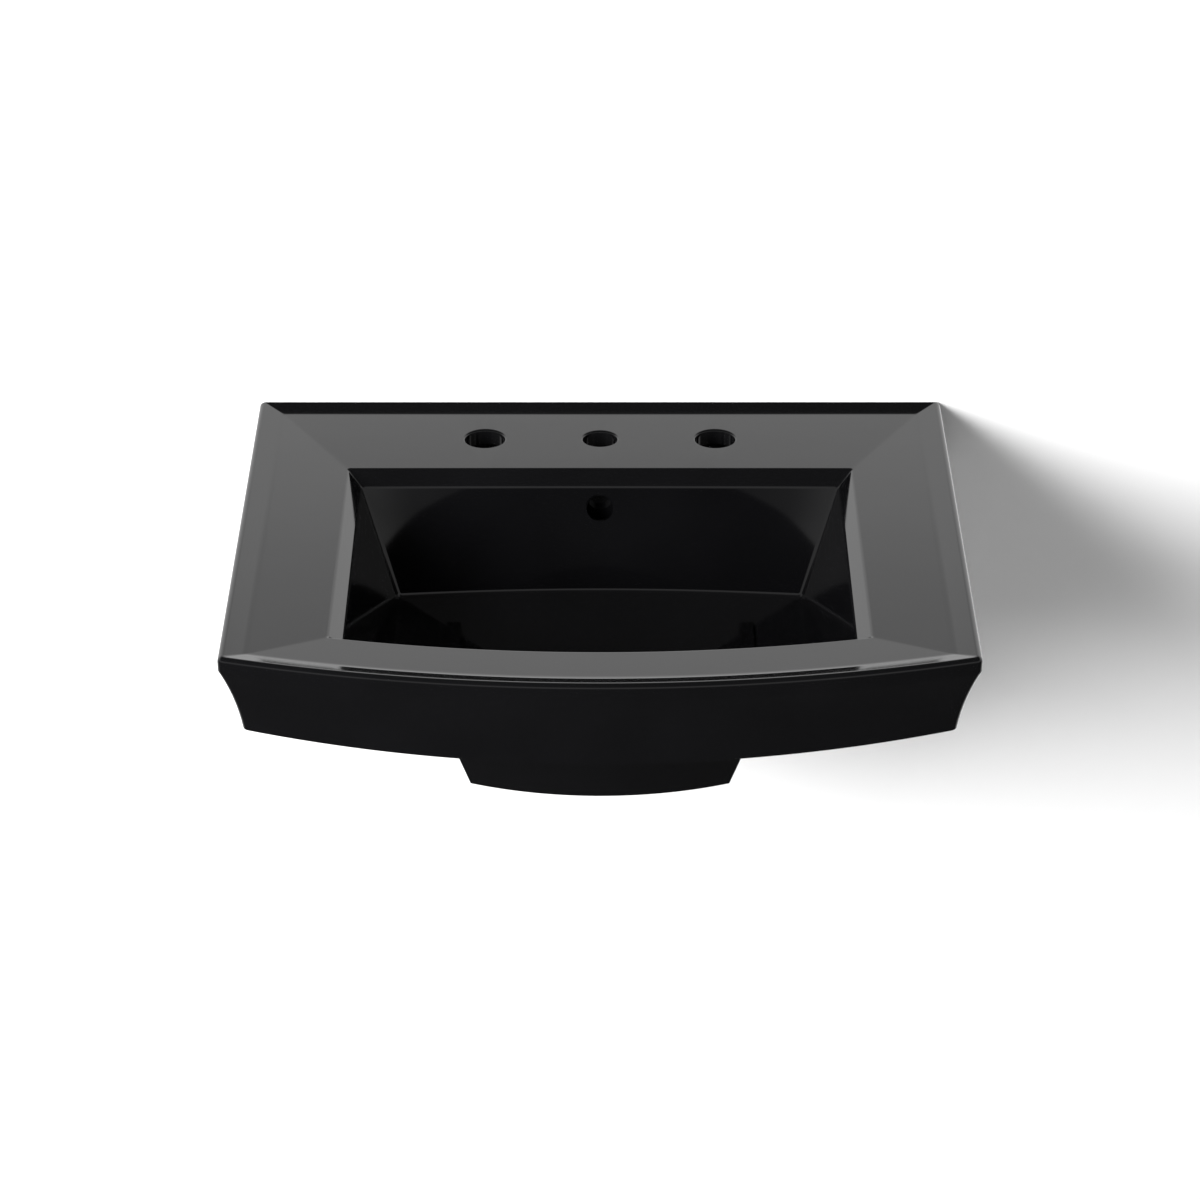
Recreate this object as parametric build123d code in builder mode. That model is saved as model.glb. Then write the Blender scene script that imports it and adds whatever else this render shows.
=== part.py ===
from build123d import *
import math
import os

# Wall-hung vitreous china wash basin with a foot for a pedestal, its push-open drain and its wall
# bolts. Millimetres, +Z up. The wall is the plane Y = 0 and the room is on its -Y side. The origin
# is on the wall, midway between the two wall bolts. Drops are measured down from the deck crease.

# ---------------------------------------------------------------- driving dimensions: china
basin_width = 609.6          # 24 in, over the rounded edges
basin_depth = 520.7          # 20-1/2 in, wall to the crown of the front bow
bow_radius = 1080.0          # plan radius of the front edge; every front line is concentric with it
bolt_drop = 80.0             # deck crease down to the wall bolts

rim_width = 21.5             # raised border, sides and front
rim_width_back = 15.0        # raised border along the wall
rim_slope = 15.0             # degrees, rising outwards
rim_top = 5.0                # highest level of the border above the crease
edge_radius = 5.0            # bullnose on the outer edge
deck_side = 63.8             # side deck strip, crease to bowl opening
deck_front = 45.0            # front deck strip
deck_back = 109.5            # faucet ledge
deck_fall = 1.2              # each strip drains this much toward the bowl
deck_thickness = 14.0

lip_width = 12.0             # chamfer round the opening
lip_drop = 11.0
bowl_drop = 105.0            # crease down to the break between wall and floor
bowl_draft = 31.5            # how far the walls lean in on the way down
bowl_back_bow = 12.0         # the foot of the rear wall bows back toward the wall plane
bowl_wall = 12.0

apron_setback = 17.0         # how far the cove brings the apron in at its lower edge
apron_drop = 67.7            # lower edge at the corners
apron_drop_middle = 76.6     # lower edge at the middle of the front
apron_wall = 11.0
apron_flare = 8.0            # the hollow widens by this toward the deck
cove_start = 7.5             # the cove begins this far below the crease
cove_bulge = 2.1             # depth of the cove's hollow from its chord

panel_thickness = 12.0       # rear panel that bears on the wall
panel_drop = 112.0
panel_margin = 50.0          # from a wall bolt out to the panel's side
panel_corner = 15.0

# ---------------------------------------------------------------- driving dimensions: foot
foot_drop = 190.0
foot_width = 219.0
foot_front = 364.0           # wall to the crown of the foot's front
foot_front_radius = 296.0
foot_back = 190.0            # wall to the open rear of the foot
foot_taper = 0.33            # millimetres inward for each millimetre down
foot_wall = 12.0

# ---------------------------------------------------------------- driving dimensions: holes
faucet_spacing = 203.2       # 8 in between the outer holes
faucet_line = 66.0           # wall to the row of holes
faucet_side_bore = 35.0
faucet_middle_bore = 30.0
overflow_bore = 22.5
overflow_drop = 32.0
overflow_margin = 1.75       # the cast channel is wider than its hole by this, each side
overflow_gap = 14.0          # depth of the cast channel
overflow_wall = 9.0
wall_bolt_spacing = 280.0

# ---------------------------------------------------------------- driving dimensions: drain
drain_line = 282.0           # wall to the drain axis
seat_drop = 158.0
seat_margin = 3.0            # flat seat past the flange
seat_recess = 4.0
boss_wall = 19.75            # china round the outlet
boss_floor = 10.0            # china under the ring space
chamber_gap = 8.75           # ring space past the outlet, which the overflow channel opens into
chamber_top = 12.0           # below the seat
chamber_height = 18.0

tube_radius = 20.5           # threaded drain body
tube_wall = 2.5
tube_play = 1.75             # between the drain body and the china, 1-3/4 in outlet
tube_past_nut = 4.0          # the drain body reaches this far below its locknut
flange_lip = 12.5            # flange past the tube
flange_thickness = 2.5
flange_gasket_thickness = 2.0
flange_gasket_inset = 1.0
outlet_wall = 1.5            # round the threaded socket for the trap
outlet_depth = 14.0
slot_width = 14.0            # overflow slots in the drain body
slot_height = 12.0
slot_count = 4
spider_drop = 34.0           # seat down to the top of the spider
spider_height = 8.0
spider_wall = 3.0
spider_rib = 3.0
spider_ribs = 3

cap_inset = 2.0              # stopper cap inside the flange's edge
cap_edge = 2.5
cap_crown = 3.0
cap_gap = 0.4                # closed stopper above the flange
stopper_travel = 9.0
skirt_play = 1.0
skirt_length = 7.0
seal_radius = 1.3            # round section of the stopper's ring
seal_room = 0.1              # groove past the ring, each side
moving_gap = 0.3             # between moving pieces and their guides

barrel_drop = 5.0            # seat down to the top of the latch barrel
barrel_radius = 7.0
barrel_wall = 1.7
collar_lip = 2.0             # the barrel's collar rests on the spider
collar_height = 4.0
barrel_lip = 2.0
barrel_floor = 3.0
plunger_length = 14.0
cam_height = 4.0
cam_bore = 2.2
cam_teeth = 8
tooth_depth = 1.5
tooth_gap = 1.0
stem_radius = 3.0
stem_gap = 0.5
stem_thread = 5.0            # length of the stem in the stopper
spring_wire = 0.5            # radius of the wire
spring_turns = 5.0
spring_length = 10.8

cone_gasket_lip = 6.75       # gasket past the china's outlet
cone_gasket_height = 9.0
cone_height = 3.0
washer_thickness = 1.6
locknut_wall = 5.5           # least wall, at the flats
locknut_height = 9.0
locknut_chamfer = 1.5
thread_gap = 0.05            # screwed pieces, crest to crest

# ---------------------------------------------------------------- driving dimensions: wall fixings
stud_radius = 4.0            # wood screw end, in the wall
stud_relief = 0.25           # the machine screw end is this much slimmer
stud_in_wall = 55.0
stud_past_nut = 10.7
stud_point = 9.0
stud_taper = 18.0            # degrees, of the point
bushing_wall = 4.1
bushing_rim = 5.0            # bushing flange past the hole in the china
bushing_flange = 2.5
bushing_recess = 0.5         # the sleeve stops this short of the wall
bushing_gap = 0.1
bolt_washer_inset = 1.0
bolt_washer_thickness = 2.0
bolt_nut_wall = 2.75
bolt_nut_height = 6.8

# ---------------------------------------------------------------- worked out from the above
half_width = basin_width / 2
bow_centre = bow_radius - basin_depth            # Y of the axis that the front lines turn about
crease_side = half_width - rim_width
crease_front = basin_depth - rim_width
lip_side = crease_side - deck_side
lip_front = crease_front - deck_front
lip_back = rim_width_back + deck_back
bowl_top_drop = deck_fall + lip_drop
bowl_side = lip_side - lip_width
bowl_front = lip_front - lip_width
bowl_back = lip_back + lip_width
floor_side = bowl_side - bowl_draft
floor_front = bowl_front - bowl_draft
floor_back = bowl_back + bowl_draft
clear_air = 40.0                                 # cutting shapes run this far past what they cut
outlet_radius = tube_radius - outlet_wall
drain_bore = tube_radius + tube_play             # radius of the outlet in the china
flange_radius = tube_radius + flange_lip
seat_radius = flange_radius + seat_margin
cap_radius = flange_radius - cap_inset
throat_radius = tube_radius - tube_wall
skirt_radius = throat_radius - skirt_play
chamber_radius = drain_bore + chamber_gap
boss_radius = drain_bore + boss_wall
panel_width = wall_bolt_spacing + 2 * panel_margin
boss_height = chamber_top + chamber_height + boss_floor
cone_gasket_radius = drain_bore + cone_gasket_lip
on_base = (Align.CENTER, Align.CENTER, Align.MIN)
machine_radius = stud_radius - stud_relief
bushing_bore = machine_radius + bushing_gap
bushing_radius = bushing_bore + bushing_wall
wall_bolt_bore = bushing_radius + bushing_gap    # radius of the bolt holes in the china


def level(drop):
    """Height of a point that lies this far below the deck crease."""
    return bolt_drop - drop


def front_y(distance, x):
    """Y at x of a front line that crosses the middle at this distance from the wall."""
    return bow_centre - math.sqrt((distance + bow_centre) ** 2 - x**2)


def tub_outline(side, back, front, back_bow=0.0):
    """Draw a bowl-shaped plan: straight sides, bowed front, rear straight or bowed to the wall."""
    corner = front_y(front, side)
    with BuildSketch() as outline:
        with BuildLine():
            Line((side, -back), (side, corner))
            ThreePointArc((side, corner), (0, -front), (-side, corner))
            Line((-side, corner), (-side, -back))
            if back_bow > 0:
                ThreePointArc((-side, -back), (0, back_bow - back), (side, -back))
            else:
                Line((-side, -back), (side, -back))
        make_face()
    return outline.sketch


def drain_circle(radius):
    """Draw a circle on the drain axis as four arcs that face the four sides of the bowl."""
    front_corner = front_y(floor_front, floor_side)
    toward = [(1, -floor_back), (1, front_corner), (-1, front_corner), (-1, -floor_back)]
    ends = []
    for sign, y in toward:
        angle = math.atan2(y + drain_line, sign * floor_side)
        ends.append((radius * math.cos(angle), radius * math.sin(angle) - drain_line))
    middles = [
        (radius, -drain_line),
        (0, -drain_line - radius),
        (-radius, -drain_line),
        (0, radius - drain_line),
    ]
    with BuildSketch() as outline:
        with BuildLine():
            for index in range(4):
                ThreePointArc(ends[index], middles[index], ends[(index + 1) % 4])
        make_face()
    return outline.sketch


def foot_outline(drop, inset):
    """Draw the foot's plan at this level, inset by a wall: bowed front, straight sides."""
    grow = foot_taper * (foot_drop - drop) - inset
    side = foot_width / 2 + grow
    front = foot_front + grow
    radius = foot_front_radius + grow
    corner = radius - front - math.sqrt(radius**2 - side**2)
    rear = -foot_back
    if inset > 0:
        rear += clear_air
    with BuildSketch() as outline:
        with BuildLine():
            Line((side, rear), (side, corner))
            ThreePointArc((side, corner), (0, -front), (-side, corner))
            Line((-side, corner), (-side, rear))
            Line((-side, rear), (side, rear))
        make_face()
    return outline.sketch


def closed_profile(points):
    """Draw a straight-sided section through these points."""
    with BuildSketch() as outline:
        with BuildLine():
            Polyline(*points, close=True)
        make_face()
    return outline.sketch


# ================================================================ basin
# One apron section serves the sides, drawn across the basin, and the front, turned about the centre
# of the bow. Where the two meet the china is mitred.
def apron_section(reach, inner, sign):
    """Draw the outer section from the line at inner out to reach: top, bullnose, cove."""
    low = level(apron_drop_middle + clear_air)
    high = level(-rim_top)
    slant = edge_radius * math.sin(math.radians(45))
    bullnose_top = (sign * (reach - edge_radius), high)
    bullnose_middle = (sign * (reach - edge_radius + slant), high - edge_radius + slant)
    bullnose_side = (sign * reach, high - edge_radius)
    cove_top = (sign * reach, level(cove_start))
    cove_foot = (sign * (reach - apron_setback), level(apron_drop))
    rise = apron_drop - cove_start
    chord = math.hypot(apron_setback, rise)
    cove_middle = (
        sign * (reach - apron_setback / 2 - cove_bulge * rise / chord),
        level((cove_start + apron_drop) / 2 - cove_bulge * apron_setback / chord),
    )
    with BuildSketch() as outline:
        with BuildLine():
            Line((sign * inner, high), bullnose_top)
            ThreePointArc(bullnose_top, bullnose_middle, bullnose_side)
            Line(bullnose_side, cove_top)
            ThreePointArc(cove_top, cove_middle, cove_foot)
            Line(cove_foot, (cove_foot[0], low))
            Line((cove_foot[0], low), (sign * inner, low))
            Line((sign * inner, low), (sign * inner, high))
        make_face()
    return outline.sketch


with BuildPart() as side_form:
    with BuildSketch(Plane.XZ):
        add(apron_section(half_width, 0, 1))
        mirror(about=Plane.YZ)
    extrude(amount=basin_depth + clear_air)

with BuildPart() as front_form:
    with BuildSketch(Plane.YZ):
        add(apron_section(basin_depth, -clear_air, -1))
    revolve(axis=Axis((0, bow_centre, 0), (0, 0, 1)))


# The border, the deck strips and the chamfer are cut by the space above them. That space is what
# three cutters share, so every strip is mitred to the next and all of them drain inwards.
def rim_section(bowl, lip, crease, reach, far):
    """List the section of the space above a strip, from the bowl at bowl out past reach."""
    rise = (reach - crease) * math.tan(math.radians(rim_slope))
    high = level(-rim_top - clear_air)
    return [
        (far, level(bowl_top_drop)),
        (bowl, level(bowl_top_drop)),
        (lip, level(deck_fall)),
        (crease, level(0)),
        (reach, level(-rise)),
        (reach, high),
        (far, high),
    ]


with BuildPart() as space_across:
    with BuildSketch(Plane.XZ):
        add(closed_profile(rim_section(bowl_side, lip_side, crease_side, half_width + clear_air, 0)))
        mirror(about=Plane.YZ)
    extrude(amount=basin_depth + clear_air)

with BuildPart() as space_front:
    front_section = rim_section(bowl_front, lip_front, crease_front, basin_depth + clear_air, -clear_air)
    with BuildSketch(Plane.YZ):
        add(closed_profile([(-distance, height) for distance, height in front_section]))
    revolve(axis=Axis((0, bow_centre, 0), (0, 0, 1)))

with BuildPart() as space_back:
    back_slope = math.tan(math.radians(rim_slope))
    with BuildSketch(Plane.YZ):
        add(closed_profile(
            [
                (-basin_depth - clear_air, level(bowl_top_drop)),
                (-bowl_back, level(bowl_top_drop)),
                (-lip_back, level(deck_fall)),
                (-rim_width_back, level(0)),
                (clear_air, level(-(rim_width_back + clear_air) * back_slope)),
                (clear_air, level(-rim_top - clear_air)),
                (-basin_depth - clear_air, level(-rim_top - clear_air)),
            ]
        ))
    extrude(amount=half_width + clear_air, both=True)

with BuildPart() as rim_space:
    add(space_across.part)
    add(space_front.part, mode=Mode.INTERSECT)
    add(space_back.part, mode=Mode.INTERSECT)

# The bowl: four leaning walls, four floor facets that fall to the round drain seat.
with BuildPart() as bowl_space:
    with BuildSketch(Plane.XY.offset(level(bowl_top_drop))):
        add(tub_outline(bowl_side, bowl_back, bowl_front))
    with BuildSketch(Plane.XY.offset(level(bowl_drop))):
        add(tub_outline(floor_side, floor_back, floor_front, bowl_back_bow))
    loft(ruled=True)

with BuildPart() as floor_space:
    with BuildSketch(Plane.XY.offset(level(bowl_drop))):
        add(tub_outline(floor_side, floor_back, floor_front, bowl_back_bow))
    with BuildSketch(Plane.XY.offset(level(seat_drop - seat_recess))):
        add(drain_circle(seat_radius))
    loft(ruled=True)

# The china round the bowl, one wall outside the space in it.
wall_top_drop = bowl_top_drop - bowl_wall / 2
wall_break_drop = bowl_drop + bowl_wall / 2

with BuildPart() as bowl_shell:
    with BuildSketch(Plane.XY.offset(level(wall_top_drop))):
        add(tub_outline(bowl_side + bowl_wall, bowl_back - bowl_wall, bowl_front + bowl_wall))
    with BuildSketch(Plane.XY.offset(level(wall_break_drop))):
        add(tub_outline(
            floor_side + bowl_wall, floor_back - bowl_wall, floor_front + bowl_wall, bowl_back_bow
        ))
    loft(ruled=True)

with BuildPart() as floor_shell:
    with BuildSketch(Plane.XY.offset(level(wall_break_drop))):
        add(tub_outline(
            floor_side + bowl_wall, floor_back - bowl_wall, floor_front + bowl_wall, bowl_back_bow
        ))
    with BuildSketch(Plane.XY.offset(level(seat_drop + bowl_wall))):
        add(drain_circle(boss_radius + bowl_wall / 2))
    loft(ruled=True)

# The hollow under the deck, open below.
with BuildPart() as under_space:
    with BuildSketch(Plane.XY.offset(level(apron_drop_middle + clear_air))):
        add(tub_outline(
            half_width - apron_setback - apron_wall,
            panel_thickness,
            basin_depth - apron_setback - apron_wall,
        ))
    with BuildSketch(Plane.XY.offset(level(deck_thickness))):
        add(tub_outline(
            half_width - apron_setback - apron_wall + apron_flare,
            panel_thickness,
            basin_depth - apron_setback - apron_wall + apron_flare,
        ))
    loft(ruled=True)

with BuildPart() as below_apron:
    corner_x = half_width - apron_setback
    far_x = half_width + clear_air
    corner_z = level(apron_drop)
    low_z = level(apron_drop_middle + 2 * clear_air)
    with BuildSketch(Plane.XZ):
        with BuildLine():
            Line((-far_x, corner_z), (-corner_x, corner_z))
            ThreePointArc((-corner_x, corner_z), (0, level(apron_drop_middle)), (corner_x, corner_z))
            Line((corner_x, corner_z), (far_x, corner_z))
            Polyline((far_x, corner_z), (far_x, low_z), (-far_x, low_z), (-far_x, corner_z))
        make_face()
    extrude(amount=basin_depth + clear_air)

foot_top_drop = bowl_drop + bowl_wall
with BuildPart() as foot_shell:
    with BuildSketch(Plane.XY.offset(level(foot_drop))):
        add(foot_outline(foot_drop, 0))
    with BuildSketch(Plane.XY.offset(level(foot_top_drop))):
        add(foot_outline(foot_top_drop, 0))
    loft(ruled=True)

with BuildPart() as foot_space:
    with BuildSketch(Plane.XY.offset(level(foot_drop + bowl_wall))):
        add(foot_outline(foot_drop + bowl_wall, foot_wall))
    with BuildSketch(Plane.XY.offset(level(foot_top_drop - bowl_wall))):
        add(foot_outline(foot_top_drop - bowl_wall, foot_wall))
    loft(ruled=True)

with BuildPart() as foot_ring:
    add(foot_shell.part)
    add(foot_space.part, mode=Mode.SUBTRACT)

# The overflow channel runs down behind the rear wall and under the floor to the ring space.
rear_face_top = bowl_wall - bowl_back
rear_face_break = bowl_wall + bowl_back_bow - floor_back
rear_face_slope = (rear_face_break - rear_face_top) / (bowl_drop - bowl_top_drop)
channel_top_drop = overflow_drop - overflow_bore / 2 - 2
channel_top_y = rear_face_top + rear_face_slope * (channel_top_drop - bowl_top_drop)
chamber_roof_drop = seat_drop + chamber_top
chamber_floor_drop = chamber_roof_drop + chamber_height
floor_face_y = boss_radius + bowl_wall / 2 - drain_line
floor_face_slope = (seat_drop + bowl_wall - wall_break_drop) / (rear_face_break - floor_face_y)
floor_gap = overflow_gap * math.hypot(1, floor_face_slope)
channel_points = [
    (channel_top_y, level(channel_top_drop)),
    (rear_face_break, level(wall_break_drop)),
    (floor_face_y, level(seat_drop + bowl_wall + 1)),
    (chamber_radius / 2 - drain_line, level(chamber_roof_drop + 2)),
    (chamber_radius / 2 - drain_line, level(chamber_floor_drop - 1)),
    (floor_face_y, level(chamber_floor_drop - 1)),
    (rear_face_break + overflow_gap, level(wall_break_drop + floor_gap)),
    (channel_top_y + overflow_gap, level(channel_top_drop)),
]

with BuildPart() as channel_space:
    with BuildSketch(Plane.YZ):
        add(closed_profile(channel_points))
    extrude(amount=overflow_bore / 2 + overflow_margin, both=True)

with BuildPart() as channel_shell:
    with BuildSketch(Plane.YZ):
        add(closed_profile(channel_points))
        offset(amount=overflow_wall, kind=Kind.INTERSECTION)
    extrude(amount=overflow_bore / 2 + overflow_margin + overflow_wall, both=True)

with BuildPart() as basin:
    add(side_form.part)
    add(front_form.part, mode=Mode.INTERSECT)
    add(under_space.part, mode=Mode.SUBTRACT)
    add(below_apron.part, mode=Mode.SUBTRACT)
    add(bowl_shell.part)
    add(floor_shell.part)
    add(channel_shell.part)
    add(foot_ring.part)
    with BuildSketch(Plane.XY.offset(level(seat_drop + boss_height))):
        with Locations((0, -drain_line)):
            Circle(boss_radius)
    extrude(amount=boss_height)
    with BuildSketch(Plane.XZ):
        with Locations((0, level((deck_thickness + panel_drop) / 2))):
            RectangleRounded(panel_width, panel_drop - deck_thickness, panel_corner)
    extrude(amount=panel_thickness)
    add(rim_space.part, mode=Mode.SUBTRACT)
    add(bowl_space.part, mode=Mode.SUBTRACT)
    add(floor_space.part, mode=Mode.SUBTRACT)
    add(channel_space.part, mode=Mode.SUBTRACT)
    with Locations((0, -drain_line, level(seat_drop))):
        Cylinder(seat_radius, seat_recess, align=on_base, mode=Mode.SUBTRACT)
        Cylinder(drain_bore, 2 * boss_height + clear_air, mode=Mode.SUBTRACT)
    with Locations((0, -drain_line, level(chamber_floor_drop))):
        Cylinder(chamber_radius, chamber_height, align=on_base, mode=Mode.SUBTRACT)
    with Locations((0, -faucet_line, level(0))):
        Cylinder(faucet_middle_bore / 2, 4 * deck_thickness, mode=Mode.SUBTRACT)
    with Locations(
        (faucet_spacing / 2, -faucet_line, level(0)), (-faucet_spacing / 2, -faucet_line, level(0))
    ):
        Cylinder(faucet_side_bore / 2, 4 * deck_thickness, mode=Mode.SUBTRACT)
    with BuildSketch(Plane.XZ.offset(-channel_top_y - overflow_gap / 2)):
        with Locations((0, level(overflow_drop))):
            Circle(overflow_bore / 2)
    extrude(amount=overflow_gap / 2 + bowl_wall + clear_air, mode=Mode.SUBTRACT)
    with BuildSketch(Plane.XZ):
        with Locations((wall_bolt_spacing / 2, 0), (-wall_bolt_spacing / 2, 0)):
            Circle(wall_bolt_bore)
    extrude(amount=panel_thickness, mode=Mode.SUBTRACT)

# ================================================================ drain
seat_z = level(seat_drop)
drain_plane = Plane.XZ.offset(drain_line)
drain_axis = Axis((0, -drain_line, 0), (0, 0, 1))
flange_under = seat_z + flange_gasket_thickness
flange_top = flange_under + flange_thickness
boss_under = seat_z - boss_height
cone_under = boss_under - cone_gasket_height
washer_under = cone_under - washer_thickness
locknut_under = washer_under - locknut_height
tube_end = locknut_under - tube_past_nut
edge_round = 1.0                                 # broken edges of the flange

with BuildPart() as flange_gasket:
    with BuildSketch(drain_plane):
        add(closed_profile(
            [
                (tube_radius + thread_gap, seat_z),
                (flange_radius - flange_gasket_inset, seat_z),
                (flange_radius - flange_gasket_inset, flange_under),
                (tube_radius + thread_gap, flange_under),
            ]
        ))
    revolve(axis=drain_axis)

with BuildPart() as drain_body:
    with BuildSketch(drain_plane):
        add(closed_profile(
            [
                (throat_radius + edge_round, flange_top),
                (flange_radius - edge_round, flange_top),
                (flange_radius, flange_top - edge_round),
                (flange_radius, flange_under),
                (tube_radius, flange_under),
                (tube_radius, tube_end),
                (outlet_radius, tube_end),
                (outlet_radius, tube_end + outlet_depth),
                (throat_radius, tube_end + outlet_depth),
                (throat_radius, flange_top - edge_round),
            ]
        ))
    revolve(axis=drain_axis)
    with BuildSketch(Plane.XY.offset(seat_z - chamber_top - chamber_height / 2 - slot_height / 2)):
        with Locations((0, -drain_line)):
            with PolarLocations(tube_radius, slot_count):
                Rectangle(3 * tube_wall, slot_width)
    extrude(amount=slot_height, mode=Mode.SUBTRACT)
    spider_bore = barrel_radius + thread_gap
    spider_hub = spider_bore + spider_wall
    with BuildSketch(Plane.XY.offset(seat_z - spider_drop - spider_height)):
        with Locations((0, -drain_line)):
            Circle(spider_hub)
            with PolarLocations((spider_hub + throat_radius) / 2, spider_ribs, start_angle=90):
                Rectangle(throat_radius - spider_hub + tube_wall, spider_rib)
            Circle(spider_bore, mode=Mode.SUBTRACT)
    extrude(amount=spider_height)

spider_top = seat_z - spider_drop
barrel_top = seat_z - barrel_drop
barrel_bore = barrel_radius - barrel_wall
plunger_radius = barrel_bore - moving_gap
plunger_top = barrel_top - barrel_lip - moving_gap - stopper_travel
plunger_bottom = plunger_top - plunger_length
cam_top = plunger_bottom - moving_gap
cam_bottom = cam_top - cam_height
spring_top = cam_bottom - moving_gap
spring_bottom = spring_top - spring_length
barrel_bottom = spring_bottom - moving_gap - barrel_floor

with BuildPart() as latch_barrel:
    with BuildSketch(drain_plane):
        add(closed_profile(
            [
                (0, barrel_bottom),
                (barrel_radius, barrel_bottom),
                (barrel_radius, spider_top),
                (barrel_radius + collar_lip, spider_top),
                (barrel_radius + collar_lip, spider_top + collar_height),
                (barrel_radius, spider_top + collar_height),
                (barrel_radius, barrel_top),
                (stem_radius + stem_gap, barrel_top),
                (stem_radius + stem_gap, barrel_top - barrel_lip),
                (barrel_bore, barrel_top - barrel_lip),
                (barrel_bore, barrel_bottom + barrel_floor),
                (0, barrel_bottom + barrel_floor),
            ]
        ))
    revolve(axis=drain_axis)

with BuildPart() as latch_plunger:
    with Locations((0, -drain_line, plunger_bottom)):
        Cylinder(plunger_radius, plunger_length, align=on_base)
    with BuildSketch(Plane.XY.offset(plunger_bottom)):
        with Locations((0, -drain_line)):
            with PolarLocations(plunger_radius, cam_teeth):
                Rectangle(plunger_radius / 2, tooth_gap)
    extrude(amount=plunger_length - 2 * tooth_depth, mode=Mode.SUBTRACT)

with BuildPart() as latch_cam:
    with BuildSketch(Plane.XY.offset(cam_bottom)):
        with Locations((0, -drain_line)):
            Circle(plunger_radius)
            Circle(cam_bore, mode=Mode.SUBTRACT)
    extrude(amount=cam_height)
    with BuildSketch(Plane.XY.offset(cam_top)):
        with Locations((0, -drain_line)):
            with PolarLocations(plunger_radius, cam_teeth):
                Rectangle(plunger_radius, tooth_gap)
    extrude(amount=-tooth_depth, mode=Mode.SUBTRACT)

spring_radius = plunger_radius - 2 * spring_wire
spring_height = spring_length - 2 * spring_wire
with BuildPart() as latch_spring:
    with BuildLine():
        spring_coil = Helix(
            spring_height / spring_turns,
            spring_height,
            spring_radius,
            center=(0, -drain_line, spring_bottom + spring_wire),
        )
    with BuildSketch(Plane(origin=spring_coil @ 0, z_dir=spring_coil % 0)):
        Circle(spring_wire)
    sweep(is_frenet=True)

# ================================================================ stopper, drawn closed
cap_under = flange_top + cap_gap
skirt_end = cap_under - skirt_length
groove_radius = throat_radius - moving_gap - 2 * seal_radius
ring_z = skirt_end + skirt_length / 2
groove_half = seal_radius + seal_room
cap_top = cap_under + cap_edge + cap_crown
dome_radius = (cap_radius**2 + cap_crown**2) / (2 * cap_crown)
dome_middle = cap_top - dome_radius + math.sqrt(dome_radius**2 - cap_radius**2 / 4)

with BuildPart() as stopper_cap:
    with BuildSketch(drain_plane):
        with BuildLine():
            Polyline(
                (0, cap_top),
                (0, skirt_end + stem_thread),
                (stem_radius + thread_gap, skirt_end + stem_thread),
                (stem_radius + thread_gap, skirt_end),
                (skirt_radius, skirt_end),
                (skirt_radius, ring_z - groove_half),
                (groove_radius, ring_z - groove_half),
                (groove_radius, ring_z + groove_half),
                (skirt_radius, ring_z + groove_half),
                (skirt_radius, cap_under),
                (cap_radius, cap_under),
                (cap_radius, cap_under + cap_edge),
            )
            ThreePointArc(
                (cap_radius, cap_under + cap_edge),
                (cap_radius / 2, dome_middle),
                (0, cap_top),
            )
        make_face()
    revolve(axis=drain_axis)

with BuildPart() as stopper_ring:
    with BuildSketch(drain_plane):
        with Locations((groove_radius + seal_radius, ring_z)):
            Circle(seal_radius)
    revolve(axis=drain_axis)

with BuildPart() as stopper_stem:
    with Locations((0, -drain_line, plunger_top)):
        Cylinder(stem_radius, skirt_end + stem_thread - plunger_top, align=on_base)

# ================================================================ under the outlet
nut_bore = tube_radius + thread_gap

with BuildPart() as cone_gasket:
    with BuildSketch(drain_plane):
        add(closed_profile(
            [
                (nut_bore, cone_under),
                (cone_gasket_radius, cone_under),
                (cone_gasket_radius, boss_under - cone_height),
                (cone_gasket_radius - cone_height, boss_under),
                (drain_bore - thread_gap, boss_under),
                ((nut_bore + drain_bore) / 2, boss_under + cone_height),
                (nut_bore, boss_under + cone_height),
            ]
        ))
    revolve(axis=drain_axis)

with BuildPart() as slip_washer:
    with BuildSketch(Plane.XY.offset(washer_under)):
        with Locations((0, -drain_line)):
            Circle(cone_gasket_radius)
            Circle(nut_bore, mode=Mode.SUBTRACT)
    extrude(amount=washer_thickness)

with BuildPart() as drain_locknut:
    with BuildSketch(Plane.XY.offset(locknut_under)):
        with Locations((0, -drain_line)):
            RegularPolygon(nut_bore + locknut_wall, 6, major_radius=False)
            Circle(nut_bore, mode=Mode.SUBTRACT)
    extrude(amount=locknut_height)
    chamfer(drain_locknut.edges().filter_by(GeomType.LINE).group_by(Axis.Z)[0], length=locknut_chamfer)

# ================================================================ wall fixings
stud_places = [(-wall_bolt_spacing / 2, 0), (wall_bolt_spacing / 2, 0)]
bushing_face = panel_thickness + bushing_flange
washer_face = bushing_face + bolt_washer_thickness

with BuildPart() as wall_studs:
    with BuildSketch(Plane.XZ.offset(-(stud_in_wall - stud_point))):
        with Locations(*stud_places):
            Circle(stud_radius)
    extrude(amount=stud_in_wall - stud_point)
    with BuildSketch(Plane.XZ.offset(-(stud_in_wall - stud_point))):
        with Locations(*stud_places):
            Circle(stud_radius)
    extrude(amount=-stud_point, taper=stud_taper)
    with BuildSketch(Plane.XZ):
        with Locations(*stud_places):
            Circle(machine_radius)
    extrude(amount=washer_face + bolt_nut_height + stud_past_nut)

with BuildPart() as wall_bushings:
    with BuildSketch(Plane.XZ.offset(bushing_recess)):
        with Locations(*stud_places):
            Circle(bushing_radius)
            Circle(bushing_bore, mode=Mode.SUBTRACT)
    extrude(amount=bushing_face - bushing_recess)
    with BuildSketch(Plane.XZ.offset(panel_thickness)):
        with Locations(*stud_places):
            Circle(wall_bolt_bore + bushing_rim)
            Circle(bushing_bore, mode=Mode.SUBTRACT)
    extrude(amount=bushing_flange)

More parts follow.
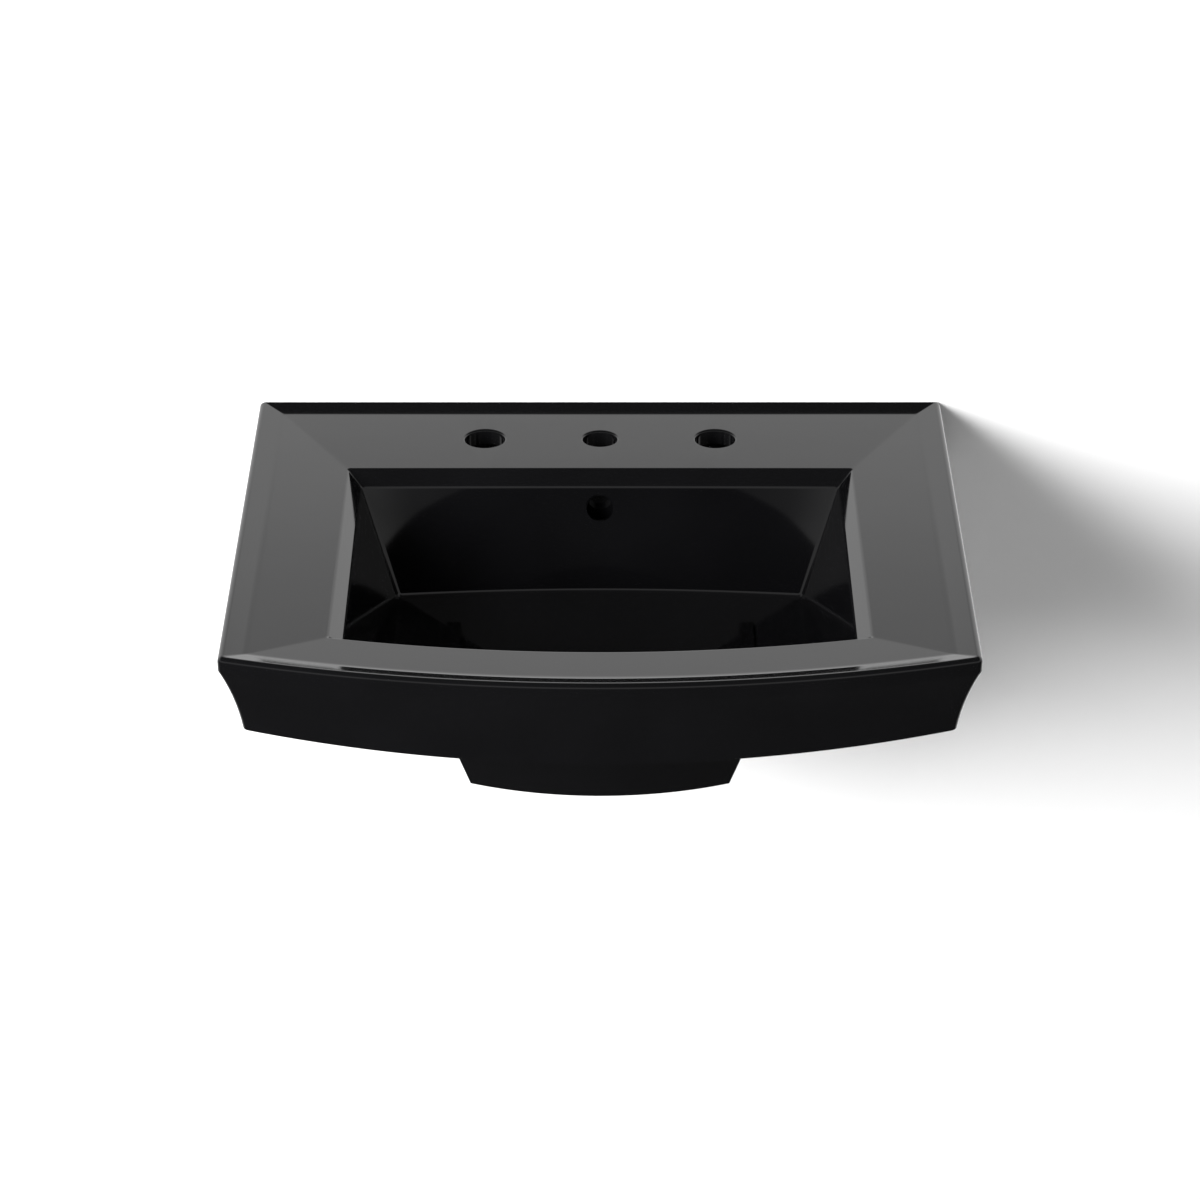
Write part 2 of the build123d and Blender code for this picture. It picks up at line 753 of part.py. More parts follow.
with BuildPart() as wall_washers:
    with BuildSketch(Plane.XZ.offset(bushing_face)):
        with Locations(*stud_places):
            Circle(wall_bolt_bore + bushing_rim - bolt_washer_inset)
            Circle(bushing_bore, mode=Mode.SUBTRACT)
    extrude(amount=bolt_washer_thickness)

with BuildPart() as wall_nuts:
    with BuildSketch(Plane.XZ.offset(washer_face)):
        with Locations(*stud_places):
            RegularPolygon(machine_radius + bolt_nut_wall, 6, major_radius=False)
            Circle(machine_radius + thread_gap, mode=Mode.SUBTRACT)
    extrude(amount=bolt_nut_height)

# ================================================================ one STEP file for each piece
pieces = {
    "basin": basin,
    "drain_body": drain_body,
    "flange_gasket": flange_gasket,
    "stopper_cap": stopper_cap,
    "stopper_ring": stopper_ring,
    "stopper_stem": stopper_stem,
    "latch_barrel": latch_barrel,
    "latch_plunger": latch_plunger,
    "latch_cam": latch_cam,
    "latch_spring": latch_spring,
    "cone_gasket": cone_gasket,
    "slip_washer": slip_washer,
    "drain_locknut": drain_locknut,
    "wall_studs": wall_studs,
    "wall_bushings": wall_bushings,
    "wall_washers": wall_washers,
    "wall_nuts": wall_nuts,
}
os.makedirs("parts", exist_ok=True)
for name, piece in pieces.items():
    piece.part.label = name
    export_step(piece.part, f"parts/{name}.step")
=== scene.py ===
import bpy
import bmesh
import math
from mathutils import Matrix, Vector


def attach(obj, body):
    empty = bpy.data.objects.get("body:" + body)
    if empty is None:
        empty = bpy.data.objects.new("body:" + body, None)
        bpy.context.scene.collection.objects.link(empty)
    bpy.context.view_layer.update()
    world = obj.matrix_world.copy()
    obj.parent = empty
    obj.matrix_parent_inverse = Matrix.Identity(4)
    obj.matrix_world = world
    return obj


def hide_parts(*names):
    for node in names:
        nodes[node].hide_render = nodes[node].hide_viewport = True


# A black china wash basin that hangs on a wall and stands on a pedestal by its foot, with its
# push-open drain and its wall bolts. Sizes are in millimetres and become metres where a vertex is
# placed. The wall is the plane Y = 0, the room is on its -Y side, and drops go down from the crease
# between the deck and its raised border.

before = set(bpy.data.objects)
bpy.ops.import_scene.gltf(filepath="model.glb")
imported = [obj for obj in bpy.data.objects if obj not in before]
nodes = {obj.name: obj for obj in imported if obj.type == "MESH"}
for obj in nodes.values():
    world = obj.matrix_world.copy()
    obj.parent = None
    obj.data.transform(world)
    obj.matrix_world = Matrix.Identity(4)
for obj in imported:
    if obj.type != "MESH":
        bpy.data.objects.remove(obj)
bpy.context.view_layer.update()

MM = 0.001
crease_level = 80.0

# ---------------------------------------------------------------- china
half_width = 304.8
depth = 520.7
bow_centre = 559.3               # Y of the axis that the front lines turn about
rim_width = 21.5
rim_width_back = 15.0
rim_slope = math.radians(16)
nose_radius = 4.4                # rounded outer edge
nose_radius_back = 2.0           # the same edge where it meets the wall
deck_side = 63.8
deck_front = 45.0
deck_back = 109.5
deck_fall = 1.2
deck_thickness = 14.0
lip_width = 12.0
lip_drop = 11.0
bowl_drop = 105.0
bowl_draft = 31.5
bowl_back_bow = 12.0
bowl_wall = 12.0
apron_setback = 17.0
apron_drop = 67.7
apron_arch = 8.9                 # the front's lower edge hangs this much lower in the middle
apron_wall = 11.0
apron_flare = 8.0
cove_start = 7.5
cove_bulge = 2.1
panel_thickness = 12.0
panel_width = 380.0
panel_drop = 112.0
panel_corner = 15.0
panel_round = 1.2

foot_drop = 190.0
foot_width = 219.0
foot_front = 364.0
foot_front_radius = 296.0
foot_back = 190.0
foot_taper = 0.33
foot_wall = 12.0
foot_round = 1.0
foot_bow_steps = 28

faucet_spacing = 203.2
faucet_line = 66.0
faucet_side_radius = 17.5
faucet_middle_radius = 15.0
overflow_radius = 11.25
overflow_drop = 32.0
channel_half = 13.0
channel_gap = 14.0
channel_wall = 9.0
duct_round = 4.0
bolt_spacing = 280.0
bolt_radius = 8.05

drain_line = 282.0
seat_drop = 158.0
seat_recess = 4.0
seat_radius = 36.0
outlet_radius = 22.25
boss_radius = 42.0
boss_height = 40.0
chamber_radius = 31.0
chamber_top = 12.0
chamber_height = 18.0

# Corners in plan, the front ones before the rear ones where the two differ.
outer_corners = (6.0, 3.0)
least_corners = (1.5, 1.0)
crease_corner = 1.5
lip_corner = 3.0
floor_corner = 3.5
shell_corner = 20.0
deck_root_corner = 14.0
hollow_corners = (10.0, 6.0)
apron_inner_corners = (8.0, 5.0)

# How far back from each edge its rounding starts.
apron_round = 1.0
apron_inner_round = 1.8
crease_round = 3.5
lip_round = 2.2
floor_round = 4.5
recess_round = 2.0
seat_round = 0.8
outlet_round = 1.0
chamber_round = 1.5
boss_round = 2.5
boss_neck = 3.0                  # from the boss to the bowl's underside
boss_neck_round = 2.0
shell_round = 10.0
deck_root_round = 8.0
hollow_round = 7.0
nose_trim = 2.0                  # the outer corners tighten by this round the nose
nose_steps = 7
cove_shares = (0.95, 0.85, 0.72, 0.58, 0.44, 0.3, 0.17, 0.06, 0.0)
quarters = (0.25, 0.5, 0.75)

faucet_hole_round = 1.6
faucet_hole_turn = math.radians(80)
overflow_round = 1.2
overflow_turn = math.radians(78)
hole_lead = (1.5, 0.35)          # the last step out and up, which clears the deck
overflow_lead = (0.8, 0.4)
overflow_clear = 15.0            # how far its cutter stands out into the bowl
cut_past = 20.0                  # how far the other cutters run past the face they open
bolt_hole_reach = 40.0
overlap = 1.0                    # how far joined parts run into each other

# ---------------------------------------------------------------- drain, as heights
seat = crease_level - seat_drop
flange_radius = 33.0
flange_under = seat + 2.0
flange_top = flange_under + 2.5
flange_edge = 1.0
flange_break = 0.3               # the flange's sharp lower edge taken off
tube_fillet = 0.6                # where the tube meets the flange
tube_break = 0.5
socket_break = 0.4
tube_radius = 20.5
tube_end = seat - 63.6
throat_radius = 18.0
socket_radius = 19.0
socket_depth = 14.0
tube_thread_start = seat - 30.0
tube_thread_depth = 0.45
tube_thread_pitch = 1.6
slot_reach = 30.0                # the slot's cutting block, from the axis
slot_half = 7.0
slot_top = seat - 15.0
slot_height = 12.0
spider_top = seat - 34.0
spider_height = 8.0
spider_bore = 7.05
spider_hub = 10.05
rib_half = 1.5
cap_radius = 31.0
cap_under = flange_top + 0.4
cap_shoulder = cap_under + 2.5
cap_crown = 3.0
cap_round = 1.2
cap_break = 0.5
dome_sink = 0.1                  # keeps the dome's edge below its round
dome_steps = 16
dome_pole = 0.4                  # the flat disc that closes the dome
skirt_radius = 17.0
skirt_end = cap_under - 7.0
skirt_break = 0.6
groove_radius = 15.1
groove_middle = skirt_end + 3.5
groove_half = 1.4
nut_bore = 20.55
nut_flat = 26.05                 # axis to a flat
nut_top = seat - 50.6
nut_height = 9.0
nut_chamfer = 1.5

# ---------------------------------------------------------------- wall fixings, out from the wall
stud_radius = 4.0
machine_radius = 3.75
stud_end = 34.0
stud_in_wall = 55.0
stud_point = 9.0
stud_tip = 1.1
wood_pitch = 2.6
wood_depth = 0.8
wood_thread_end = -9.0           # behind the wall's face
machine_pitch = 1.25
machine_depth = 0.5
machine_neck = 4.0               # plain length next to the wall
machine_lead = 0.7
tip_flat = 0.2
tip_lead = 0.3
collar_step = 0.4                # where the wood screw's shank meets the machine screw
stud_nut_face = 16.5
stud_nut_height = 6.8
stud_nut_flat = 6.5
stud_nut_bore = 3.8
stud_nut_chamfer = 0.8

# ---------------------------------------------------------------- columns round the basin
side_columns = 10
front_columns = 48
back_columns = 48
corner_columns = 7
hole_columns = 72
bolt_hole_columns = 40
hub_columns = 48
round_columns = 96               # round the stopper and the nuts' turned corners
stud_columns = 28
rounding_limit = 0.45            # a rounding takes no more than this share of a side


def deselect_all():
    """Leave nothing selected, so that an operator acts only on what it is given."""
    if bpy.context.object is not None and bpy.context.object.mode != "OBJECT":
        bpy.ops.object.mode_set(mode="OBJECT")
    bpy.ops.object.select_all(action="DESELECT")


def loft(name, rings, ends="fill"):
    """Extrude a circle of vertices through these rings, then fill the two ends or join them."""
    deselect_all()
    bpy.ops.mesh.primitive_circle_add(vertices=len(rings[0]), radius=1)
    piece = bpy.context.object
    piece.name = name
    bpy.ops.object.mode_set(mode="EDIT")
    bpy.ops.mesh.select_all(action="SELECT")
    shape = bmesh.from_edit_mesh(piece.data)
    column = shape.verts.layers.int.new("column")
    for index, vertex in enumerate(shape.verts):
        vertex[column] = index
        vertex.co = Vector(rings[0][index]) * MM
    if ends == "fill":
        bpy.ops.mesh.edge_face_add()
    for ring in rings[1:]:
        bpy.ops.mesh.extrude_region_move()
        shape = bmesh.from_edit_mesh(piece.data)
        column = shape.verts.layers.int["column"]
        for vertex in shape.verts:
            if vertex.select:
                vertex.co = Vector(ring[vertex[column]]) * MM
    bmesh.update_edit_mesh(piece.data)
    if ends == "join":
        bpy.ops.mesh.extrude_region_move()
        shape = bmesh.from_edit_mesh(piece.data)
        column = shape.verts.layers.int["column"]
        for vertex in shape.verts:
            if vertex.select:
                vertex.co = Vector(rings[0][vertex[column]]) * MM
        bmesh.update_edit_mesh(piece.data)
    bpy.ops.mesh.select_all(action="SELECT")
    bpy.ops.mesh.remove_doubles(threshold=1e-6)
    bpy.ops.mesh.normals_make_consistent(inside=False)
    bpy.ops.object.mode_set(mode="OBJECT")
    return piece


def plan(side, back, front, front_corner, back_corner, back_bow=0.0):
    """List a basin-shaped outline from the right rear corner round the front, a point a column."""
    points = []
    reach = front + bow_centre
    corner_y = bow_centre - math.sqrt((reach - front_corner) ** 2 - (side - front_corner) ** 2)
    tangent = math.atan2(corner_y - bow_centre, side - front_corner)
    rear_y = -back - back_corner

    def arc(x, y, radius, start, end):
        for step in range(corner_columns):
            angle = start + (end - start) * step / (corner_columns - 1)
            points.append((x + radius * math.cos(angle), y + radius * math.sin(angle)))

    def between(start, end, count):
        for step in range(1, count + 1):
            share = step / (count + 1)
            points.append(tuple(a + (b - a) * share for a, b in zip(start, end)))

    arc(side - back_corner, rear_y, back_corner, math.pi / 2, 0)
    between((side, rear_y), (side, corner_y), side_columns)
    arc(side - front_corner, corner_y, front_corner, 0, tangent)
    for step in range(1, front_columns + 1):
        angle = tangent + (-math.pi - 2 * tangent) * step / (front_columns + 1)
        points.append((reach * math.cos(angle), bow_centre + reach * math.sin(angle)))
    arc(front_corner - side, corner_y, front_corner, math.pi - tangent, math.pi)
    between((-side, corner_y), (-side, rear_y), side_columns)
    arc(back_corner - side, rear_y, back_corner, math.pi, math.pi / 2)
    between((back_corner - side, -back), (side - back_corner, -back), back_columns)
    if back_bow:
        for index, (x, y) in enumerate(points):
            if y > rear_y:
                points[index] = (x, y + back_bow * (1 - (x / side) ** 2))
    return points


def drain_ring(radius):
    """List a circle on the drain axis, each column towards its place at the foot of the bowl."""
    around = plan(*floor_sizes)
    angles = [math.atan2(y + drain_line, x) for x, y in around]
    return [(radius * math.cos(a), radius * math.sin(a) - drain_line) for a in angles]


def at_drop(outline, drop):
    """Stand an outline at one drop."""
    return [Vector((x, y, crease_level - drop)) for x, y in outline]


def hanging(outline):
    """Stand an outline along the apron's lower edge."""
    span = half_width - apron_setback
    return [
        Vector((x, y, crease_level - apron_drop - apron_arch * max(0.0, 1 - (x / span) ** 2)))
        for x, y in outline
    ]


def rounded(stations, steps=4):
    """Round the section at each station by its own length, column by column."""
    rings = []
    for index, (ring, length) in enumerate(stations):
        if length == 0:
            rings.append(ring)
            continue
        before = stations[index - 1][0]
        after = stations[(index + 1) % len(stations)][0]
        for step in range(steps + 1):
            share = step / steps
            new = []
            for here, last, following in zip(ring, before, after):
                back = last - here
                ahead = following - here
                start = here + back.normalized() * min(length, back.length * rounding_limit)
                end = here + ahead.normalized() * min(length, ahead.length * rounding_limit)
                point = start * (1 - share) ** 2 + here * (2 * share * (1 - share))
                new.append(point + end * share**2)
            rings.append(new)
    return rings


def arc_section(start, end, bulge, share):
    """Point at this share of a shallow arc from start to end that bows by bulge."""
    chord = math.dist(start, end)
    radius = (chord**2 / 4 + bulge**2) / (2 * bulge)
    swing = math.asin(chord / 2 / radius)
    angle = swing * (2 * share - 1)
    along = 0.5 + radius * math.sin(angle) / chord
    off = radius * math.cos(angle) - radius * math.cos(swing)
    normal = ((end[1] - start[1]) / chord, -(end[0] - start[0]) / chord)
    return (
        start[0] + (end[0] - start[0]) * along + normal[0] * off,
        start[1] + (end[1] - start[1]) * along + normal[1] * off,
    )


# ---------------------------------------------------------------- basin
lip_side = half_width - rim_width - deck_side
lip_front = depth - rim_width - deck_front
lip_back = rim_width_back + deck_back
bowl_side = lip_side - lip_width
bowl_front = lip_front - lip_width
bowl_back = lip_back + lip_width
bowl_top = deck_fall + lip_drop
floor_sizes = (
    bowl_side - bowl_draft,
    bowl_back + bowl_draft,
    bowl_front - bowl_draft,
    floor_corner,
    floor_corner,
    bowl_back_bow,
)


def outer_plan(offset, back_offset, trim=0.0):
    """The outer outline moved in by these offsets."""
    corners = [max(least, corner - trim) for least, corner in zip(least_corners, outer_corners)]
    return plan(half_width - offset, back_offset, depth - offset, *corners)


def bowl_ring(share):
    """The bowl's wall at this share of the way down, below the chamfer."""
    top = (bowl_side, bowl_back, bowl_front, lip_corner, lip_corner, 0.0)
    sizes = [high + (low - high) * share for high, low in zip(top, floor_sizes)]
    return at_drop(plan(*sizes), bowl_top + (bowl_drop - bowl_top) * share)


def floor_ring(share):
    """The bowl's floor at this share of the way in to the drain seat."""
    outside = at_drop(plan(*floor_sizes), bowl_drop)
    inside = at_drop(drain_ring(seat_radius), seat_drop - seat_recess)
    return [a.lerp(b, share) for a, b in zip(outside, inside)]


def apron_stations():
    """From the apron's lower edge up its cove."""
    foot, head = (0, cove_start), (apron_setback, apron_drop)
    stations = [(hanging(outer_plan(apron_setback, 0)), apron_round)]
    for share in cove_shares:
        offset, drop = arc_section(foot, head, cove_bulge, share)
        stations.append((at_drop(outer_plan(offset, 0), drop), 0))
    return stations


def nose_stations():
    """Round the rim's outer edge."""
    level = (rim_width - nose_radius * (1 + math.sin(rim_slope))) * math.tan(rim_slope)
    level -= nose_radius * math.cos(rim_slope)
    stations = []
    for step in range(nose_steps + 1):
        angle = (math.pi / 2 + rim_slope) * step / nose_steps
        inward = 1 - math.cos(angle)
        outline = outer_plan(nose_radius * inward, nose_radius_back * inward, nose_trim * inward)
        stations.append((at_drop(outline, -level - nose_radius * math.sin(angle)), 0))
    return stations


def bowl_stations():
    """Over the crease, the deck and the chamfer, down the bowl's wall and in over its floor."""
    inside = (half_width - rim_width, rim_width_back, depth - rim_width)
    crease = plan(*inside, crease_corner, crease_corner)
    lip = plan(lip_side, lip_back, lip_front, lip_corner, lip_corner)
    stations = [(at_drop(crease, 0), crease_round), (at_drop(lip, deck_fall), lip_round)]
    stations.append((bowl_ring(0), lip_round))
    stations += [(bowl_ring(share), 0) for share in quarters]
    stations.append((bowl_ring(1), floor_round))
    stations += [(floor_ring(share), 0) for share in quarters]
    stations.append((floor_ring(1), recess_round))
    return stations


def drain_stations():
    """Down the seat and the outlet, round the overflow's chamber, and up the boss outside."""
    chamber_roof = seat_drop + chamber_top
    chamber_floor = chamber_roof + chamber_height
    boss_foot = seat_drop + boss_height
    underside = seat_drop + bowl_wall
    turns = (
        (seat_radius, seat_drop, seat_round),
        (outlet_radius, seat_drop, outlet_round),
        (outlet_radius, chamber_roof, outlet_round),
        (chamber_radius, chamber_roof, chamber_round),
        (chamber_radius, chamber_floor, chamber_round),
        (outlet_radius, chamber_floor, outlet_round),
        (outlet_radius, boss_foot, outlet_round),
        (boss_radius, boss_foot, boss_round),
        (boss_radius, underside + boss_neck, boss_neck_round),
        (boss_radius + bowl_wall / 2, underside, boss_neck_round),
    )
    return [(at_drop(drain_ring(radius), drop), length) for radius, drop, length in turns]


def underside_stations():
    """Up the bowl's outside, out under the deck and down the apron's inside."""
    side, back, front = floor_sizes[:3]
    shell = (side + bowl_wall, back - bowl_wall, front + bowl_wall, shell_corner, shell_corner)
    deck_root = plan(lip_side, lip_back, lip_front, deck_root_corner, deck_root_corner)
    reach = apron_setback + apron_wall
    side, front = half_width - reach, depth - reach
    flared = (side + apron_flare, panel_thickness, front + apron_flare, *hollow_corners)
    edge = hanging(plan(side, panel_thickness, front, *apron_inner_corners))
    return [
        (at_drop(plan(*shell, bowl_back_bow), bowl_drop + bowl_wall / 2), shell_round),
        (at_drop(deck_root, deck_thickness), deck_root_round),
        (at_drop(plan(*flared), deck_thickness), hollow_round),
        (edge, apron_inner_round),
    ]


def basin_stations():
    """List the rings of the china's section, each with the length that its edge is rounded by."""
    stations = apron_stations() + nose_stations() + bowl_stations()
    return stations + drain_stations() + underside_stations()


def foot_plan(drop, inset, rear):
    """List half of the foot's outline at this drop, from the right rear round to the left rear."""
    grow = foot_taper * (foot_drop - drop) - inset
    side = foot_width / 2 + grow
    radius = foot_front_radius + grow
    centre = radius - foot_front - grow
    swing = math.asin(side / radius)
    points = [(side, -rear)]
    for step in range(foot_bow_steps + 1):
        angle = swing * (1 - 2 * step / foot_bow_steps)
        points.append((radius * math.sin(angle), centre - radius * math.cos(angle)))
    points.append((-side, -rear))
    return points


def bevel_edges(piece, width, segments=3, angle=35):
    """Round every edge of the piece that is sharper than the angle."""
    bevel = piece.modifiers.new("edges", "BEVEL")
    bevel.width = width * MM
    bevel.segments = segments
    bevel.limit_method = "ANGLE"
    bevel.angle_limit = math.radians(angle)
    apply_modifier(piece, "edges")


def apply_modifier(piece, name):
    """Apply one modifier to the piece."""
    deselect_all()
    bpy.context.view_layer.objects.active = piece
    piece.select_set(True)
    bpy.ops.object.modifier_apply(modifier=name)


def foot_piece():
    """The foot: a bowed front and two straight sides, open behind and below."""
    rings = []
    for drop in (foot_drop, bowl_drop + bowl_wall):
        outside = foot_plan(drop, 0, foot_back)
        inside = foot_plan(drop, foot_wall, foot_back)
        rings.append(at_drop(outside + inside[::-1], drop))
    foot = loft("foot", rings)
    bevel_edges(foot, foot_round)
    return foot


def box_piece(name, low, high):
    """A block between two corners."""
    deselect_all()
    middle = [(a + b) / 2 * MM for a, b in zip(low, high)]
    bpy.ops.mesh.primitive_cube_add(size=1, location=middle)
    block = bpy.context.object
    block.name = name
    block.scale = [(b - a) * MM for a, b in zip(low, high)]
    bpy.ops.object.transform_apply(location=True, rotation=True, scale=True)
    return block


def panel_piece():
    """The rear panel's lower part, which bears on the wall and takes the bolts."""
    low = (-panel_width / 2, -panel_thickness, crease_level - panel_drop)
    high = (panel_width / 2, 0, crease_level - deck_thickness + overlap)
    panel = box_piece("panel", low, high)
    corner = panel_corner * MM
    bpy.ops.object.mode_set(mode="EDIT")
    bpy.ops.mesh.select_all(action="DESELECT")
    shape = bmesh.from_edit_mesh(panel.data)
    for edge in shape.edges:
        ends = [vertex.co for vertex in edge.verts]
        along_y = abs(ends[0].y - ends[1].y) > 0.5 * panel_thickness * MM
        edge.select_set(along_y and ends[0].z < (low[2] + overlap) * MM)
    bmesh.update_edit_mesh(panel.data)
    bpy.ops.mesh.bevel(offset=corner, segments=8, affect="EDGES")
    bpy.ops.object.mode_set(mode="OBJECT")
    bevel_edges(panel, panel_round, segments=2, angle=60)
    return panel


def grown(points, wall):
    """Move every side of a closed outline outwards by a wall."""
    count = len(points)
    area = sum(
        points[i][0] * points[(i + 1) % count][1] - points[(i + 1) % count][0] * points[i][1]
        for i in range(count)
    )
    sign = 1 if area > 0 else -1
    moved = []
    for i in range(count):
        lines = []
        for a, b in ((points[i - 1], points[i]), (points[i], points[(i + 1) % count])):
            length = math.dist(a, b)
            normal = (sign * (b[1] - a[1]) / length, -sign * (b[0] - a[0]) / length)
            lines.append((normal, normal[0] * a[0] + normal[1] * a[1] + wall))
        (n, p), (m, q) = lines
        cross = n[0] * m[1] - n[1] * m[0]
        moved.append(((p * m[1] - q * n[1]) / cross, (n[0] * q - m[0] * p) / cross))
    return moved


def channel_section():
    """List the overflow channel's section, down behind the rear wall and in under the floor."""
    top_y = bowl_wall - bowl_back
    break_y = bowl_wall + bowl_back_bow - floor_sizes[1]
    break_drop = bowl_drop + bowl_wall / 2
    start_drop = overflow_drop - overflow_radius - 2 * overlap
    start_y = top_y + (break_y - top_y) * (start_drop - bowl_top) / (bowl_drop - bowl_top)
    inner_y = boss_radius + bowl_wall / 2 - drain_line
    slope = (seat_drop + bowl_wall - break_drop) / (break_y - inner_y)
    roof = seat_drop + chamber_top
    end = roof + chamber_height
    axis_y = chamber_radius / 2 - drain_line
    return [
        (start_y, crease_level - start_drop),
        (break_y, crease_level - break_drop),
        (inner_y, crease_level - seat_drop - bowl_wall - overlap),
        (axis_y, crease_level - roof - 2 * overlap),
        (axis_y, crease_level - end + overlap),
        (inner_y, crease_level - end + overlap),
        (break_y + channel_gap, crease_level - break_drop - channel_gap * math.hypot(1, slope)),
        (start_y + channel_gap, crease_level - start_drop),
    ]


def prism(name, section, half):
    """A straight piece of this section, as wide as twice the half, across the basin."""
    return loft(name, [[(x, y, z) for y, z in section] for x in (-half, half)])


def turned(name, profile, columns=64, place=(0.0, -drain_line, 0.0), along="Z", ends="join"):
    """Turn a section of (radius, height) points about an axis through the place."""
    rings = []
    for radius, height in profile:
        ring = []
        for step in range(columns):
            angle = 2 * math.pi * step / columns
            reach = radius(angle) if callable(radius) else radius
            across = (reach * math.cos(angle), reach * math.sin(angle))
            if along == "Z":
                ring.append((place[0] + across[0], place[1] + across[1], place[2] + height))
            else:
                ring.append((place[0] + across[0], place[1] - height, place[2] + across[1]))
        rings.append(ring)
    return loft(name, rings, ends)


def thread(radius, depth, pitch, start, end, steps=8):
    """List the sections of a screw thread, which runs in and out over one turn at its ends."""
    count = round(abs(end - start) / pitch * steps)
    sections = []
    for index in range(count + 1):
        height = start + (end - start) * index / count
        fade = min(1.0, abs(height - start) / pitch, abs(end - height) / pitch)

        def reach(angle, height=height, fade=fade):
            share = (height / pitch - angle / (2 * math.pi)) % 1.0
            crest = radius(height) if callable(radius) else radius
            return crest - depth * fade * abs(2 * share - 1)

        sections.append((reach, height))
    return sections


def hole_cutter(name, x, radius):
    """A faucet hole with a softened upper edge."""
    soft = faucet_hole_round
    low = -soft - deck_fall / 2
    profile = [(radius, -2 * cut_past)]
    for step in range(7):
        angle = faucet_hole_turn * step / 6
        reach = radius + soft * (1 - math.cos(angle))
        profile.append((reach, low + soft * math.sin(angle)))
    edge = profile[-1][0] + hole_lead[0]
    profile += [(edge, profile[-1][1] + hole_lead[1]), (edge, cut_past)]
    return turned(name, profile, hole_columns, (x, -faucet_line, crease_level), ends="fill")


def combine(piece, others, operation):
    """Join the others to the piece, or cut them out of it."""
    for other in others:
        change = piece.modifiers.new("change", "BOOLEAN")
        change.operation = operation
        change.solver = "EXACT"
        change.object = other
        apply_modifier(piece, "change")
        bpy.data.objects.remove(other)


def overflow_cutter():
    """The overflow hole, square to the leaning rear wall, with a softened edge."""
    lean = math.atan2(bowl_draft, bowl_drop - bowl_top)
    wall_y = bowl_back + bowl_draft * (overflow_drop - bowl_top) / (bowl_drop - bowl_top)
    soft = overflow_round
    profile = [(overflow_radius, -bowl_wall - 2 * overlap)]
    for step in range(6):
        angle = overflow_turn * step / 5
        reach = overflow_radius + soft * (1 - math.cos(angle))
        profile.append((reach, soft * math.sin(angle) - soft))
    edge = profile[-1][0] + overflow_lead[0]
    profile += [(edge, overflow_lead[1]), (edge, overflow_clear)]
    cutter = turned("overflow", profile, place=(0, 0, 0), ends="fill")
    turn = Matrix.Rotation(math.pi / 2 - lean, 4, "X")
    bow = bowl_back_bow * (overflow_drop - bowl_top) / (bowl_drop - bowl_top)
    place = Matrix.Translation(Vector((0, bow - wall_y, crease_level - overflow_drop)) * MM)
    cutter.data.transform(place @ turn)
    return cutter


def smooth(piece, angle=32):
    """Shade the piece smooth but for its sharp edges, with flat faces kept flat."""
    deselect_all()
    bpy.context.view_layer.objects.active = piece
    piece.select_set(True)
    bpy.ops.object.shade_smooth_by_angle(angle=math.radians(angle))
    weighted = piece.modifiers.new("weighted", "WEIGHTED_NORMAL")
    weighted.keep_sharp = True
    weighted.weight = 60
    apply_modifier(piece, "weighted")


def basin_piece():
    """The whole china basin."""
    basin = loft("basin_china", rounded(basin_stations()), ends="join")
    section = channel_section()
    duct = prism("duct", grown(section, channel_wall), channel_half + channel_wall)
    bevel_edges(duct, duct_round)
    combine(basin, [foot_piece(), panel_piece(), duct], "UNION")
    cutters = [prism("channel", section, channel_half), overflow_cutter()]
    cutters.append(hole_cutter("middle_hole", 0, faucet_middle_radius))
    for side in (-1, 1):
        cutters.append(hole_cutter("side_hole", side * faucet_spacing / 2, faucet_side_radius))
        place = (side * bolt_spacing / 2, 0, 0)
        bore = [(bolt_radius, -cut_past), (bolt_radius, bolt_hole_reach)]
        cutters.append(turned("bolt_hole", bore, bolt_hole_columns, place, "Y", "fill"))
    combine(basin, cutters, "DIFFERENCE")
    smooth(basin)
    return basin


